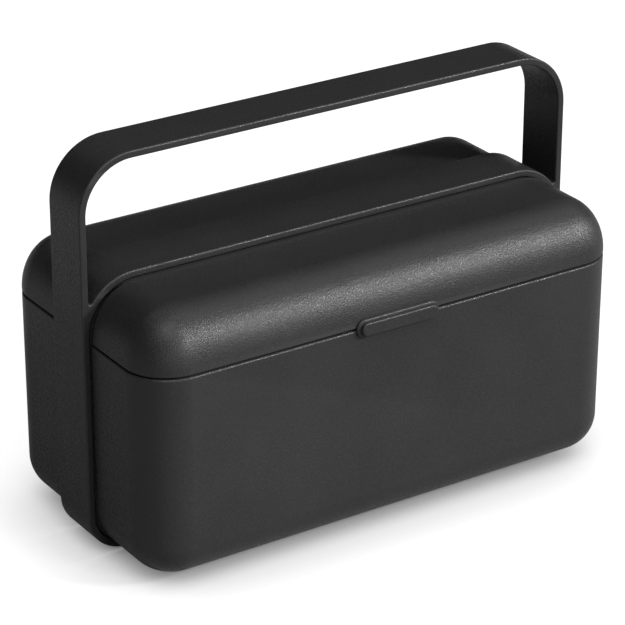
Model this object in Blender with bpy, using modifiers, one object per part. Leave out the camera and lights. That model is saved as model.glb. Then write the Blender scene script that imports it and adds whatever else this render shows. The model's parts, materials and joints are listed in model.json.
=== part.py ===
"""Two-lid lunch box: two long tubs back to back, a strap ring between them that rises
into a fixed carrying handle, and a domed lid on each tub that swings up beside the strap.

Frame: metres, +Z up, origin on the table under the middle of the box.
+X runs along the length and the front compartment is on the -Y side.
"""

import math

import bmesh
import bpy
from mathutils import Matrix, Vector

MM = 0.001
GAP = 0.3 * MM

# Strap ring and handle
STRAP_WIDTH = 22.2 * MM
STRAP_THICKNESS = 2.9 * MM
STRAP_LENGTH = 215.4 * MM
STRAP_EDGE = 0.7 * MM
RING_TOP = 111.4 * MM
HANDLE_TOP = 157.5 * MM
HANDLE_CORNER = 22.0 * MM
RING_TOP_CORNER = 22.0 * MM
RING_BOTTOM_CORNER = 16.0 * MM
FORK_RADIUS = 0.8 * MM

# Tubs and lids
BODY_LENGTH = 210.0 * MM
BODY_DEPTH = 107.0 * MM
BODY_INNER = 11.9 * MM
TUB_FLOOR = 3.0 * MM
TUB_RIM = 86.5 * MM
TUB_WALL = 2.2 * MM
TUB_CORNER = 17.5 * MM
TUB_BOTTOM_ROUND = 15.0 * MM
TUB_DRAFT = 0.002
LID_RIM = 87.3 * MM
LID_TOP = 108.8 * MM
LID_WALL = 2.0 * MM
LID_ROUND = 17.5 * MM
LID_ROUND_HEIGHT = 20.9 * MM
LID_INNER_EDGE = 1.6 * MM
TUB_INNER_EDGE = 0.8 * MM
BODY_SEGMENTS = 8

# Lid hinges, two to a lid
HINGE_Y = -16.1 * MM
HINGE_Z = 105.6 * MM
HINGE_X = 75.0 * MM
HINGE_PIN_RADIUS = 0.75 * MM
HINGE_PIN_LENGTH = 21.4 * MM
HINGE_BORE_LENGTH = 180.0 * MM
POST_WIDTH = 13.2 * MM
POST_BARREL = 1.9 * MM
POST_FRONT = -13.7 * MM
POST_BACK = -12.2 * MM
POST_FOOT = 82.0 * MM
POST_FRONT_TOP = 93.0 * MM
POST_BACK_TOP = 95.0 * MM
NECK_FRONT = 1.5 * MM
NECK_FRONT_FOOT = 98.0 * MM
NECK_BACK = 1.1 * MM
NECK_BACK_FOOT = 98.5 * MM
NOTCH_WIDTH = 14.0 * MM
NOTCH_FRONT = -18.6 * MM
NOTCH_TOP = 107.9 * MM
KNUCKLE_WIDTH = 4.5 * MM
KNUCKLE_TRIM = 0.01 * MM
KNUCKLE_RADIUS = 2.4 * MM
KNUCKLE_ROOT = 3.5 * MM
KNUCKLE_TOP = 107.4 * MM

# Latches
SEAM = 86.9 * MM
LATCH_LENGTH = 33.8 * MM
LATCH_HEIGHT = 5.4 * MM
LATCH_BACK = -53.8 * MM
LATCH_FRONT = -56.2 * MM
LATCH_EDGE = 0.6 * MM
FLANGE_LENGTH = 36.6 * MM
FLANGE_HEIGHT = 7.4 * MM
FLANGE_THICKNESS = 0.5 * MM
FLANGE_EDGE = 0.12 * MM
LATCH_Y = -49.3 * MM
LATCH_Z = 91.4 * MM
LATCH_ARM = 22.0 * MM
LATCH_BARREL = 1.7 * MM
LATCH_BORE_LENGTH = 40.0 * MM
LATCH_PIN_RADIUS = 0.7 * MM
LATCH_PIN_LENGTH = 30.0 * MM
LEVER_TIP = -54.5 * MM
LEVER_LOW = 87.45 * MM
LEVER_HIGH = 88.6 * MM
LEVER_FRONT = 1.1 * MM
LEVER_BACK = 1.3 * MM
BEAD_LENGTH = 18.0 * MM
BEAD_DEPTH = (-54.3 * MM, -53.3 * MM)
BEAD_HEIGHT = (84.5 * MM, 85.1 * MM)
CATCH_LENGTH = 20.0 * MM
CATCH_DEPTH = (-55.0 * MM, -52.6 * MM)
CATCH_HEIGHT = (84.15 * MM, 85.7 * MM)
SLOT_DEPTH = (-55.0 * MM, -50.4 * MM)
SLOT_TOP = 89.65 * MM
BOSS_X = 13.8 * MM
BOSS_WIDTH = 3.6 * MM
BOSS_RADIUS = 2.1 * MM
BOSS_ROOT = -52.3 * MM

# Latch springs
SPRING_RADIUS = 1.35 * MM
SPRING_WIRE = 0.3 * MM
SPRING_TURNS = 3.5
SPRING_STEPS = 12
SPRING_WIDTH = 4.8 * MM
SPRING_FOOT = 89.65 * MM
SPRING_TIP = 94.7 * MM
SPRING_TIP_SHIFT = 0.4 * MM
SPRING_GAP = 7.2 * MM
SPRING_GAP_DEPTH = (-52.0 * MM, -46.0 * MM)
SPRING_GAP_HEIGHT = (89.3 * MM, 94.7 * MM)

# Spine, hooks, screws and feet
SPINE_WIDTH = 21.2 * MM
SPINE_WALL = 2.0 * MM
SPINE_WEB = 2.4 * MM
SPINE_GAP = 0.35 * MM
HOOK_X = 50.0 * MM
HOOK_WIDTH = 12.0 * MM
RAIL_WIDTH = 16.0 * MM
RAIL_SECTION = ((0.6, 55.0), (0.6, 57.5), (7.6, 57.5), (7.6, 65.6), (10.2, 65.6), (10.2, 55.0))
LUG_SECTION = ((12.6, 66.0), (7.2, 66.0), (7.2, 60.0), (4.8, 60.0), (4.8, 68.5), (12.6, 68.5))
SCREW_X = (-70.0 * MM, -25.0 * MM, 25.0 * MM, 70.0 * MM)
SCREW_HEAD_RADIUS = 2.9 * MM
SCREW_HEAD_FACE = 0.25 * MM
SCREW_HEAD_LAND = 0.5 * MM
SCREW_SHANK_RADIUS = 1.4 * MM
SCREW_SHANK_FOOT = 2.1 * MM
SCREW_TIP = 13.0 * MM
DRIVE_RADIUS = 1.1 * MM
DRIVE_DEPTH = 1.6 * MM
SINK_RADIUS = 3.3 * MM
SINK_LAND = 0.45 * MM
SINK_BORE = 1.75 * MM
PILOT_RADIUS = 1.7 * MM
PILOT_HEIGHT = (2.0 * MM, 14.0 * MM)
SCREW_BOSS = 4.2 * MM
SCREW_BOSS_HEIGHT = (4.1 * MM, 15.5 * MM)
FOOT_X = 78.0 * MM
FOOT_Y = -28.0 * MM
FOOT_RADIUS = 5.0 * MM
FOOT_HEIGHT = 3.5 * MM
FOOT_EDGE = 0.6 * MM
FOOT_SEAT_DEPTH = 0.8 * MM

# Dividers
DIVIDER_X = 35.0 * MM
DIVIDER_THICKNESS = 1.6 * MM
DIVIDER_TOP = 72.0 * MM
DIVIDER_FRONT_PLAY = 0.8 * MM
DIVIDER_BACK_PLAY = 0.5 * MM
DIVIDER_FLOOR_PLAY = 0.4 * MM
DIVIDER_CORNER = 14.0 * MM
DIVIDER_HEEL = 1.0 * MM
DIVIDER_SHOULDER = 2.0 * MM
DIVIDER_SCOOP = 8.0 * MM
GUIDE_THICKNESS = 1.4 * MM
GUIDE_PLAY = 0.4 * MM
GUIDE_HEIGHT = (20.0 * MM, 70.0 * MM)
GUIDE_FRONT = (-52.3 * MM, -49.4 * MM)
GUIDE_BACK = (-15.8 * MM, -13.2 * MM)

CHARCOAL = (0.036, 0.036, 0.037)
CORE_BLACK = (0.018, 0.018, 0.019)
STEEL = (0.56, 0.56, 0.55)
PAD_BLACK = (0.012, 0.012, 0.012)
DIVIDER_GREY = (0.09, 0.09, 0.092)


# ---------------------------------------------------------------- scene and collections

def clear_scene():
    for item in list(bpy.data.objects):
        bpy.data.objects.remove(item, do_unlink=True)
    for group in list(bpy.data.collections):
        bpy.data.collections.remove(group)


def new_collection(name):
    group = bpy.data.collections.new(name)
    bpy.context.scene.collection.children.link(group)
    return group


def make_material(name, color, roughness, metallic):
    material = bpy.data.materials.new(name)
    material.use_nodes = True
    shader = material.node_tree.nodes["Principled BSDF"]
    shader.inputs["Base Color"].default_value = (*color, 1.0)
    shader.inputs["Roughness"].default_value = roughness
    shader.inputs["Metallic"].default_value = metallic
    return material


def finish_part(item, name, material, smooth_angle=35.0):
    item.name = name
    item.data.name = name
    item.data.materials.clear()
    item.data.materials.append(material)
    item.data.shade_smooth()
    item.data.set_sharp_from_angle(angle=math.radians(smooth_angle))
    return item


# ---------------------------------------------------------------- basic solids

def object_from_bmesh(bm, name, group):
    mesh = bpy.data.meshes.new(name)
    bm.to_mesh(mesh)
    bm.free()
    item = bpy.data.objects.new(name, mesh)
    group.objects.link(item)
    return item


def box(name, group, x_range, y_range, z_range):
    """A rectangular block between the given limits."""
    low = Vector((x_range[0], y_range[0], z_range[0]))
    high = Vector((x_range[1], y_range[1], z_range[1]))
    size = high - low
    bm = bmesh.new()
    place = Matrix.Translation((low + high) / 2) @ Matrix.Diagonal((*size, 1.0))
    bmesh.ops.create_cube(bm, size=1.0, matrix=place)
    return object_from_bmesh(bm, name, group)


def rod(name, group, center, radius, length, axis, segments=20):
    """A straight round rod along the X or Z axis."""
    turn = Matrix.Rotation(math.pi / 2, 4, "Y") if axis == "X" else Matrix.Identity(4)
    bm = bmesh.new()
    bmesh.ops.create_cone(
        bm,
        cap_ends=True,
        segments=segments,
        radius1=radius,
        radius2=radius,
        depth=length,
        matrix=Matrix.Translation(center) @ turn,
    )
    return object_from_bmesh(bm, name, group)


def upright_rod(name, group, x, radius, heights, segments):
    """A round rod in the middle plane that stands between two heights."""
    center = (x, 0.0, sum(heights) / 2)
    return rod(name, group, center, radius, heights[1] - heights[0], "Z", segments)


def turned(name, group, profile, location, steps=24):
    """A turned piece: the profile (radius, height) runs from the top down its outer side."""
    mesh = bpy.data.meshes.new(name)
    points = [(radius, 0.0, height) for radius, height in profile]
    edges = [(i, i + 1) for i in range(len(points) - 1)]
    mesh.from_pydata(points, edges, [])
    item = bpy.data.objects.new(name, mesh)
    item.location = location
    group.objects.link(item)
    screw = item.modifiers.new("Turn", "SCREW")
    screw.axis = "Z"
    screw.steps = steps
    screw.render_steps = steps
    screw.use_merge_vertices = True
    screw.merge_threshold = 0.00001
    screw.use_smooth_shade = True
    return item


def arc(center_u, center_v, radius, start, end, steps=8):
    """Points of an arc; angles in degrees, measured from the first axis."""
    points = []
    for i in range(steps + 1):
        angle = math.radians(start + (end - start) * i / steps)
        points.append((center_u + radius * math.cos(angle), center_v + radius * math.sin(angle)))
    return points


def rounded_outline(half_width, low, high, low_radius, high_radius, steps=8):
    """Upright rounded rectangle, symmetric about the vertical, anticlockwise from lower right."""
    points = arc(half_width - low_radius, low + low_radius, low_radius, -90, 0, steps)
    points += arc(half_width - high_radius, high - high_radius, high_radius, 0, 90, steps)
    points += arc(-half_width + high_radius, high - high_radius, high_radius, 90, 180, steps)
    points += arc(-half_width + low_radius, low + low_radius, low_radius, 180, 270, steps)
    return points


def baked(item, name, group):
    """The evaluated shape as a plain mesh object that replaces the item."""
    bpy.context.view_layer.update()
    graph = bpy.context.evaluated_depsgraph_get()
    mesh = bpy.data.meshes.new_from_object(item.evaluated_get(graph))
    bm = bmesh.new()
    bm.from_mesh(mesh)
    bmesh.ops.remove_doubles(bm, verts=bm.verts, dist=0.000005)
    bmesh.ops.dissolve_degenerate(bm, edges=bm.edges, dist=0.000005)
    bmesh.ops.transform(bm, matrix=item.matrix_world, verts=bm.verts)
    bmesh.ops.recalc_face_normals(bm, faces=bm.faces)
    bpy.data.objects.remove(item, do_unlink=True)
    return object_from_bmesh(bm, name, group)


def about(center, width):
    """The two limits of a width centred on a place."""
    return center - width / 2, center + width / 2


def extruded(name, group, outlines, along, limits, edge=0.0, edge_steps=1):
    """A flat outline (and its holes) given a thickness along X or Y, edges rounded by edge."""
    curve = bpy.data.curves.new(name, "CURVE")
    curve.dimensions = "2D"
    curve.fill_mode = "BOTH"
    curve.extrude = (limits[1] - limits[0]) / 2 - edge
    curve.bevel_depth = edge
    curve.bevel_resolution = edge_steps
    curve.offset = -edge
    for outline in outlines:
        spline = curve.splines.new("POLY")
        spline.points.add(len(outline) - 1)
        spline.use_cyclic_u = True
        for point, (u, v) in zip(spline.points, outline):
            point.co = (u, v, 0.0, 1.0)
    item = bpy.data.objects.new(name, curve)
    group.objects.link(item)
    middle = (limits[0] + limits[1]) / 2
    if along == "Y":
        columns = ((1, 0, 0), (0, 0, 1), (0, -1, 0))
        place = Vector((0.0, middle, 0.0))
    else:
        columns = ((0, 1, 0), (0, 0, 1), (1, 0, 0))
        place = Vector((middle, 0.0, 0.0))
    turn = Matrix(columns).transposed().to_4x4()
    item.matrix_world = Matrix.Translation(place) @ turn
    solid = baked(item, name, group)
    if len(outlines) == 1:
        merge_flat_faces(solid)
    return solid


def merge_flat_faces(item):
    """Join the triangles of each flat face into one face."""
    bm = bmesh.new()
    bm.from_mesh(item.data)
    bmesh.ops.dissolve_limit(
        bm, angle_limit=math.radians(0.2), verts=bm.verts, edges=bm.edges, use_dissolve_boundaries=False
    )
    bm.to_mesh(item.data)
    bm.free()


def combine(item, tool, operation):
    """Boolean of one solid with another; the tool stays in the cutters' collection."""
    tool.display_type = "WIRE"
    tool.hide_render = True
    step = item.modifiers.new(tool.name, "BOOLEAN")
    step.operation = operation
    step.object = tool
    step.solver = "EXACT"
    return item


def cut(item, *tools):
    for tool in tools:
        combine(item, tool, "DIFFERENCE")
    return item


def add(item, *tools):
    for tool in tools:
        combine(item, tool, "UNION")
    return item


def move_origin(item, point):
    """Put the object's origin at the point without moving its surface."""
    item.data.transform(Matrix.Translation(-Vector(point)))
    item.location = point
    return item


def rear_copy(item, name, group):
    """The same piece on the rear compartment: turned half way round the vertical axis."""
    twin = bpy.data.objects.new(name, item.data)
    twin.location = (-item.location.x, -item.location.y, item.location.z)
    twin.rotation_euler = (0.0, 0.0, math.pi)
    group.objects.link(twin)
    return twin


# ---------------------------------------------------------------- strap ring and handle

def handle_window_outline():
    """The opening under the handle, with the narrow forks where ring and legs part."""
    half = STRAP_LENGTH / 2
    inner = half - STRAP_THICKNESS
    top = HANDLE_TOP - STRAP_THICKNESS
    corner = HANDLE_CORNER - STRAP_THICKNESS
    center_x = half - RING_TOP_CORNER
    center_z = RING_TOP - RING_TOP_CORNER
    # the fork's small arc touches the leg's inner face and the outside of the ring's corner
    fork_x = inner - FORK_RADIUS
    reach = RING_TOP_CORNER + FORK_RADIUS
    fork_z = center_z + math.sqrt(reach ** 2 - (fork_x - center_x) ** 2)
    lean = math.degrees(math.atan2(fork_z - center_z, fork_x - center_x))
    right = arc(center_x, center_z, RING_TOP_CORNER, 90, lean, 8)
    right += arc(fork_x, fork_z, FORK_RADIUS, lean - 180, 0, 4)[1:]
    right += arc(inner - corner, top - corner, corner, 0, 90, 8)
    left = [(-x, z) for x, z in reversed(right)]
    return right + left


def build_handle_band(group, tools):
    half = STRAP_LENGTH / 2
    inner = half - STRAP_THICKNESS
    outside = rounded_outline(half, 0.0, HANDLE_TOP, RING_BOTTOM_CORNER, HANDLE_CORNER)
    hole = rounded_outline(
        inner,
        STRAP_THICKNESS,
        RING_TOP - STRAP_THICKNESS,
        RING_BOTTOM_CORNER - STRAP_THICKNESS,
        RING_TOP_CORNER - STRAP_THICKNESS,
    )
    outlines = [outside, hole, handle_window_outline()]
    band = extruded("handle_band", group, outlines, "Y", about(0.0, STRAP_WIDTH), STRAP_EDGE)
    for i, x in enumerate(SCREW_X):
        profile = [
            (0.0, STRAP_THICKNESS + GAP),
            (SINK_BORE, STRAP_THICKNESS + GAP),
            (SINK_BORE, SCREW_SHANK_FOOT),
            (SINK_RADIUS, SINK_LAND),
            (SINK_RADIUS, -GAP),
            (0.0, -GAP),
        ]
        cut(band, turned(f"cut_countersink_{i}", tools, profile, (x, 0.0, 0.0)))
    return band


# ---------------------------------------------------------------- spine

def hook_outline(section, side):
    """A hook's section (distance from the middle and height, in mm) on one side."""
    points = [(side * y * MM, z * MM) for y, z in section]
    return points if side < 0 else points[::-1]


def build_spine(group, tools):
    """Moulded core of the ring: a web with a flange all round, hook rails and screw bosses."""
    clear = STRAP_THICKNESS + SPINE_GAP
    half = STRAP_LENGTH / 2 - clear
    low = clear
    high = RING_TOP - clear
    low_radius = RING_BOTTOM_CORNER - clear
    high_radius = RING_TOP_CORNER - clear
    outline = rounded_outline(half, low, high, low_radius, high_radius)
    spine = extruded("spine", group, [outline], "Y", about(0.0, SPINE_WIDTH))
    pocket = rounded_outline(
        half - SPINE_WALL,
        low + SPINE_WALL,
        high - SPINE_WALL,
        low_radius - SPINE_WALL,
        high_radius - SPINE_WALL,
    )
    depth = SPINE_WIDTH / 2 + MM
    front = extruded("cut_front_pocket", tools, [pocket], "Y", (-depth, -SPINE_WEB / 2))
    rear = extruded("cut_rear_pocket", tools, [pocket], "Y", (SPINE_WEB / 2, depth))
    cut(spine, front, rear)
    for side in (-1, 1):
        for x in (-HOOK_X, HOOK_X):
            outline = hook_outline(RAIL_SECTION, side)
            add(spine, extruded("add_rail", tools, [outline], "X", about(x, RAIL_WIDTH)))
    for x in SCREW_X:
        add(spine, upright_rod("add_boss", tools, x, SCREW_BOSS, SCREW_BOSS_HEIGHT, 24))
    for x in SCREW_X:
        cut(spine, upright_rod("cut_pilot", tools, x, PILOT_RADIUS, PILOT_HEIGHT, 16))
    return baked(spine, "spine", group)


# ---------------------------------------------------------------- tubs and lids

def half_body(name, group, limits, rounded_at_top, corner, edge, stretch, wall):
    """Open shell of one compartment: outer edges rounded, cut flat beside the strap."""
    low, high = limits
    crown = high if rounded_at_top else low
    rim = low if rounded_at_top else high
    bm = bmesh.new()
    size = Matrix.Diagonal((BODY_LENGTH, BODY_DEPTH, high - low, 1.0))
    place = Matrix.Translation((0.0, 0.0, (low + high) / 2))
    bmesh.ops.create_cube(bm, size=1.0, matrix=place @ size)

    def at_height(element, height):
        return all(abs(vert.co.z - height) < 1e-6 for vert in element.verts)

    def upright():
        return [e for e in bm.edges if abs(e.verts[0].co.z - e.verts[1].co.z) > 1e-4]

    def crown_edges():
        return [e for e in bm.edges if at_height(e, crown)]

    options = dict(segments=BODY_SEGMENTS, profile=0.5, affect="EDGES", clamp_overlap=False)
    if abs(corner - edge) < 1e-6:
        bmesh.ops.bevel(bm, geom=upright() + crown_edges(), offset=corner, **options)
    else:
        bmesh.ops.bevel(bm, geom=upright(), offset=corner, **options)
        bmesh.ops.bevel(bm, geom=crown_edges(), offset=edge, **options)
    for vert in bm.verts:
        if stretch != 1.0 and vert.co.z > high - edge * 1.001:
            vert.co.z = high - (high - vert.co.z) * stretch
        if not rounded_at_top:
            shrink = TUB_DRAFT * (high - vert.co.z)
            vert.co.x -= math.copysign(shrink, vert.co.x)
            vert.co.y -= math.copysign(shrink, vert.co.y)
    everything = bm.verts[:] + bm.edges[:] + bm.faces[:]
    sliced = bmesh.ops.bisect_plane(
        bm, geom=everything, plane_co=(0.0, -BODY_INNER, 0.0), plane_no=(0.0, 1.0, 0.0),
        clear_outer=True,
    )
    seam = [g for g in sliced["geom_cut"] if isinstance(g, bmesh.types.BMEdge)]
    bmesh.ops.holes_fill(bm, edges=seam, sides=0)
    mouth = [f for f in bm.faces if at_height(f, rim)]
    bmesh.ops.delete(bm, geom=mouth, context="FACES")
    bmesh.ops.recalc_face_normals(bm, faces=bm.faces)
    if sum((f.calc_center_median() - Vector((0.0, -BODY_DEPTH / 4, (low + high) / 2))).dot(f.normal)
           for f in bm.faces) < 0:
        bmesh.ops.reverse_faces(bm, faces=bm.faces)
    shell = object_from_bmesh(bm, name, group)
    solid = shell.modifiers.new("Wall", "SOLIDIFY")
    solid.thickness = wall
    solid.offset = -1.0
    solid.use_even_offset = True
    solid.use_rim = True
    return baked(shell, name, group)


def round_inner_edges(item, rim, radius, segments):
    """Round the outline of the flat wall that faces the strap, except along the rim."""
    bm = bmesh.new()
    bm.from_mesh(item.data)
    picked = []
    for edge in bm.edges:
        on_wall = all(abs(vert.co.y + BODY_INNER) < 1e-6 for vert in edge.verts)
        on_rim = all(abs(vert.co.z - rim) < 1e-6 for vert in edge.verts)
        if on_wall and not on_rim and edge.calc_face_angle(0.0) > math.radians(40):
            picked.append(edge)
    bmesh.ops.bevel(
        bm, geom=picked, offset=radius, segments=segments, profile=0.5, affect="EDGES",
        clamp_overlap=False,
    )
    bm.to_mesh(item.data)
    bm.free()
    return item


def hinge_post_outline():
    """Post that rises from the tub's inner wall, steps inward and ends in the pin's barrel."""
    rise = math.degrees(math.acos(NECK_BACK / POST_BARREL))
    back = math.degrees(math.acos(NECK_FRONT / POST_BARREL))
    points = [(POST_FRONT, POST_FOOT), (POST_BACK, POST_FOOT), (POST_BACK, POST_BACK_TOP)]
    points.append((HINGE_Y + NECK_BACK, NECK_BACK_FOOT))
    points += arc(HINGE_Y, HINGE_Z, POST_BARREL, -rise, 180 + back, 12)
    points.append((HINGE_Y - NECK_FRONT, NECK_FRONT_FOOT))
    points.append((POST_FRONT, POST_FRONT_TOP))
    return points


def knuckle_outline():
    """Barrel round the hinge pin, hung from the underside of the lid."""
    back = HINGE_Y + KNUCKLE_ROOT
    points = [(back, KNUCKLE_TOP), (HINGE_Y - KNUCKLE_RADIUS, KNUCKLE_TOP)]
    points += arc(HINGE_Y, HINGE_Z, KNUCKLE_RADIUS, 180, 360, 14)
    points.append((back, HINGE_Z))
    return points


def latch_boss_outline():
    """Lug that carries the latch pin, standing off the inside of the lid's wall."""
    points = [(BOSS_ROOT, LATCH_Z - BOSS_RADIUS)]
    points += arc(LATCH_Y, LATCH_Z, BOSS_RADIUS, -90, 90, 10)
    points.append((BOSS_ROOT, LATCH_Z + BOSS_RADIUS))
    return points


def hinge_bore(tools):
    """Cutter for the holes of both hinge pins of a compartment."""
    center = (0.0, HINGE_Y, HINGE_Z)
    return rod("cut_bore", tools, center, HINGE_PIN_RADIUS + GAP, HINGE_BORE_LENGTH, "X", 16)


def latch_bore(tools):
    center = (0.0, LATCH_Y, LATCH_Z)
    return rod("cut_latch_bore", tools, center, LATCH_PIN_RADIUS + GAP, LATCH_BORE_LENGTH, "X", 16)


def build_tub(group, tools):
    tub = half_body(
        "front_tub", group, (TUB_FLOOR, TUB_RIM), False, TUB_CORNER, TUB_BOTTOM_ROUND, 1.0,
        TUB_WALL,
    )
    round_inner_edges(tub, TUB_RIM, TUB_INNER_EDGE, 2)
    for side in (-1, 1):
        post = about(side * HINGE_X, POST_WIDTH)
        add(tub, extruded("add_post", tools, [hinge_post_outline()], "X", post))
        lug = hook_outline(LUG_SECTION, -1)
        add(tub, extruded("add_lug", tools, [lug], "X", about(side * HOOK_X, HOOK_WIDTH)))
        offset = DIVIDER_THICKNESS / 2 + GUIDE_PLAY + GUIDE_THICKNESS / 2
        guide = about(DIVIDER_X + side * offset, GUIDE_THICKNESS)
        add(tub, box("add_guide", tools, guide, GUIDE_FRONT, GUIDE_HEIGHT))
        add(tub, box("add_guide", tools, guide, GUIDE_BACK, GUIDE_HEIGHT))
    cut(tub, hinge_bore(tools))
    cut(tub, box("cut_catch", tools, about(0.0, CATCH_LENGTH), CATCH_DEPTH, CATCH_HEIGHT))
    for side in (-1, 1):
        place = (side * FOOT_X, FOOT_Y, TUB_FLOOR)
        depth = 2 * FOOT_SEAT_DEPTH
        cut(tub, rod("cut_foot_seat", tools, place, FOOT_RADIUS + GAP, depth, "Z", 24))
    return baked(tub, "front_tub", group)


def build_lid(group, tools):
    lid = half_body(
        "front_lid", group, (LID_RIM, LID_TOP), True, LID_ROUND, LID_ROUND,
        LID_ROUND_HEIGHT / LID_ROUND, LID_WALL,
    )
    round_inner_edges(lid, LID_RIM, LID_INNER_EDGE, 3)
    for side in (-1, 1):
        for hand in (-1, 1):
            beside = NOTCH_WIDTH / 2 + KNUCKLE_WIDTH / 2 - KNUCKLE_TRIM
            width = about(side * HINGE_X + hand * beside, KNUCKLE_WIDTH)
            add(lid, extruded("add_knuckle", tools, [knuckle_outline()], "X", width))
        width = about(side * BOSS_X, BOSS_WIDTH)
        add(lid, extruded("add_latch_boss", tools, [latch_boss_outline()], "X", width))
    below = LID_RIM - MM
    for side in (-1, 1):
        notch = about(side * HINGE_X, NOTCH_WIDTH)
        depth = (NOTCH_FRONT, -BODY_INNER + MM)
        cut(lid, box("cut_notch", tools, notch, depth, (below, NOTCH_TOP)))
    cut(lid, hinge_bore(tools))
    cut(lid, latch_bore(tools))
    slot = about(0.0, LATCH_ARM + MM)
    cut(lid, box("cut_latch_slot", tools, slot, SLOT_DEPTH, (below, SLOT_TOP)))
    return baked(lid, "front_lid", group)


# ---------------------------------------------------------------- latch

def latch_lever_outline():
    """Neck through the lid wall, arm up to the pin and the barrel round it."""
    front = math.degrees(math.acos(LEVER_BACK / LATCH_BARREL))
    back = math.degrees(math.acos(LEVER_FRONT / LATCH_BARREL))
    points = [(LEVER_TIP, LEVER_LOW), (LATCH_Y + LEVER_BACK, LEVER_LOW)]
    points += arc(LATCH_Y, LATCH_Z, LATCH_BARREL, -front, 180 + back, 12)
    points.append((LATCH_Y - LEVER_FRONT, LEVER_HIGH))
    points.append((LEVER_TIP, LEVER_HIGH))
    return points


def stadium(length, height):
    """A bar with round ends, centred on the seam between lid and tub."""
    radius = height / 2
    straight = length / 2 - radius
    points = arc(straight, SEAM, radius, -90, 90, 10)
    return points + arc(-straight, SEAM, radius, 90, 270, 10)


def build_latch(group, tools):
    """Pull bar on a thin flange that covers the seam, with its lever and snap bead."""
    outline = stadium(LATCH_LENGTH, LATCH_HEIGHT)
    limits = (LATCH_FRONT, LATCH_BACK)
    latch = extruded("front_latch", group, [outline], "Y", limits, LATCH_EDGE, 2)
    outline = stadium(FLANGE_LENGTH, FLANGE_HEIGHT)
    limits = (LATCH_BACK - FLANGE_THICKNESS, LATCH_BACK)
    add(latch, extruded("add_flange", tools, [outline], "Y", limits, FLANGE_EDGE))
    lever = extruded("add_lever", tools, [latch_lever_outline()], "X", about(0.0, LATCH_ARM))
    add(latch, lever)
    add(latch, box("add_bead", tools, about(0.0, BEAD_LENGTH), BEAD_DEPTH, BEAD_HEIGHT))
    cut(latch, latch_bore(tools))
    gap = about(0.0, SPRING_GAP)
    cut(latch, box("cut_spring_gap", tools, gap, SPRING_GAP_DEPTH, SPRING_GAP_HEIGHT))
    return baked(latch, "front_latch", group)


def build_latch_spring(group):
    """Torsion spring round the latch pin with one leg on the lever and one up the lid."""
    curve = bpy.data.curves.new("front_latch_spring", "CURVE")
    curve.dimensions = "3D"
    curve.bevel_depth = SPRING_WIRE
    curve.bevel_resolution = 1
    curve.use_fill_caps = True
    count = int(SPRING_TURNS * SPRING_STEPS)
    points = [(-SPRING_WIDTH / 2, LATCH_Y - SPRING_RADIUS, SPRING_FOOT)]
    for i in range(count + 1):
        angle = math.pi - 2 * math.pi * i / SPRING_STEPS
        x = -SPRING_WIDTH / 2 + SPRING_WIDTH * i / count
        points.append((x, LATCH_Y + SPRING_RADIUS * math.cos(angle),
                       LATCH_Z + SPRING_RADIUS * math.sin(angle)))
    end = points[-1]
    points.append((end[0], end[1] - SPRING_TIP_SHIFT, SPRING_TIP))
    spline = curve.splines.new("POLY")
    spline.points.add(len(points) - 1)
    for point, place in zip(spline.points, points):
        point.co = (*place, 1.0)
    item = bpy.data.objects.new("front_latch_spring", curve)
    group.objects.link(item)
    return baked(item, "front_latch_spring", group)


# ---------------------------------------------------------------- small pieces

def build_screw(name, group, tools, x):
    """Countersunk screw, head down, with a six-sided drive recess."""
    profile = [
        (0.0, SCREW_TIP),
        (SCREW_SHANK_RADIUS, SCREW_TIP),
        (SCREW_SHANK_RADIUS, SCREW_SHANK_FOOT),
        (SCREW_HEAD_RADIUS, SCREW_HEAD_LAND),
        (SCREW_HEAD_RADIUS, SCREW_HEAD_FACE),
        (0.0, SCREW_HEAD_FACE),
    ]
    screw = turned(name, group, profile, (x, 0.0, 0.0))
    cut(screw, upright_rod("cut_drive", tools, x, DRIVE_RADIUS, (-GAP, DRIVE_DEPTH), 6))
    return screw


def build_foot(name, group, x, y):
    profile = [
        (0.0, FOOT_HEIGHT),
        (FOOT_RADIUS, FOOT_HEIGHT),
        (FOOT_RADIUS, FOOT_EDGE),
        (FOOT_RADIUS - 0.3 * FOOT_EDGE, 0.3 * FOOT_EDGE),
        (FOOT_RADIUS - FOOT_EDGE, 0.0),
        (0.0, 0.0),
    ]
    return turned(name, group, profile, (x, y, 0.0))


def build_divider(group):
    """Upright partition whose lower front corner follows the tub's rounded floor edge."""
    front = -BODY_DEPTH / 2 + TUB_WALL + DIVIDER_FRONT_PLAY
    back = -BODY_INNER - TUB_WALL - DIVIDER_BACK_PLAY
    floor = TUB_FLOOR + TUB_WALL + DIVIDER_FLOOR_PLAY
    middle = (front + back) / 2
    corner, heel, shoulder = DIVIDER_CORNER, DIVIDER_HEEL, DIVIDER_SHOULDER
    outline = arc(front + corner, floor + corner, corner, 180, 270, 8)
    outline += arc(back - heel, floor + heel, heel, 270, 360, 2)
    outline += arc(back - shoulder, DIVIDER_TOP - shoulder, shoulder, 0, 90, 3)
    outline += arc(middle, DIVIDER_TOP, DIVIDER_SCOOP, 0, -180, 10)
    outline += arc(front + shoulder, DIVIDER_TOP - shoulder, shoulder, 90, 180, 3)
    width = about(DIVIDER_X, DIVIDER_THICKNESS)
    return extruded("front_divider", group, [outline], "X", width)


# ---------------------------------------------------------------- assembly

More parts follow.
